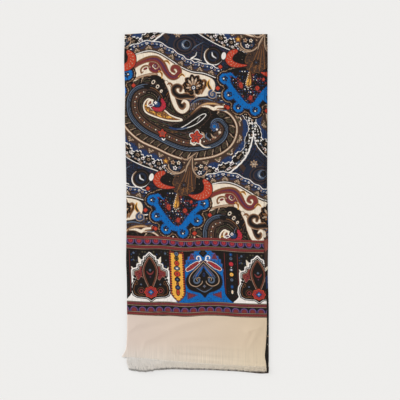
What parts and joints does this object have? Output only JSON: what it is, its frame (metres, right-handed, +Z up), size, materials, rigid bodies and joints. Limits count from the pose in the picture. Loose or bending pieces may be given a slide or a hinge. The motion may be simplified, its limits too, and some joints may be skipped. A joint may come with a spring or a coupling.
{
  "type": "silk scarf",
  "caption": "Printed silk scarf with a paisley field, an arch and column border, a plain end and a fringe, folded into a long flat rectangle that lies on its back.",
  "frame": {"origin": "middle of the folded scarf's bounding box, on the surface that it lies on", "axes": "+Z up out of the surface, +Y along the folded length from the fringe to the far fold, +X to the right across the width"},
  "size_m": [0.2609, 0.605, 0.0076],
  "materials": {
    "printed_silk": "silk twill printed with a dark paisley field and a border in blue, red, ochre and cream, soft sheen",
    "plain_silk": "undyed cream silk twill, smooth, soft sheen",
    "fringe_silk": "loose cream silk threads, frayed from the cloth"
  },
  "bodies": {
    "root": {"front_field": "printed_silk", "front_border": "printed_silk", "front_end": "plain_silk", "front_fringe": "fringe_silk", "inner_layers": "printed_silk", "back_panel": "printed_silk"}
  },
  "joints": []
}
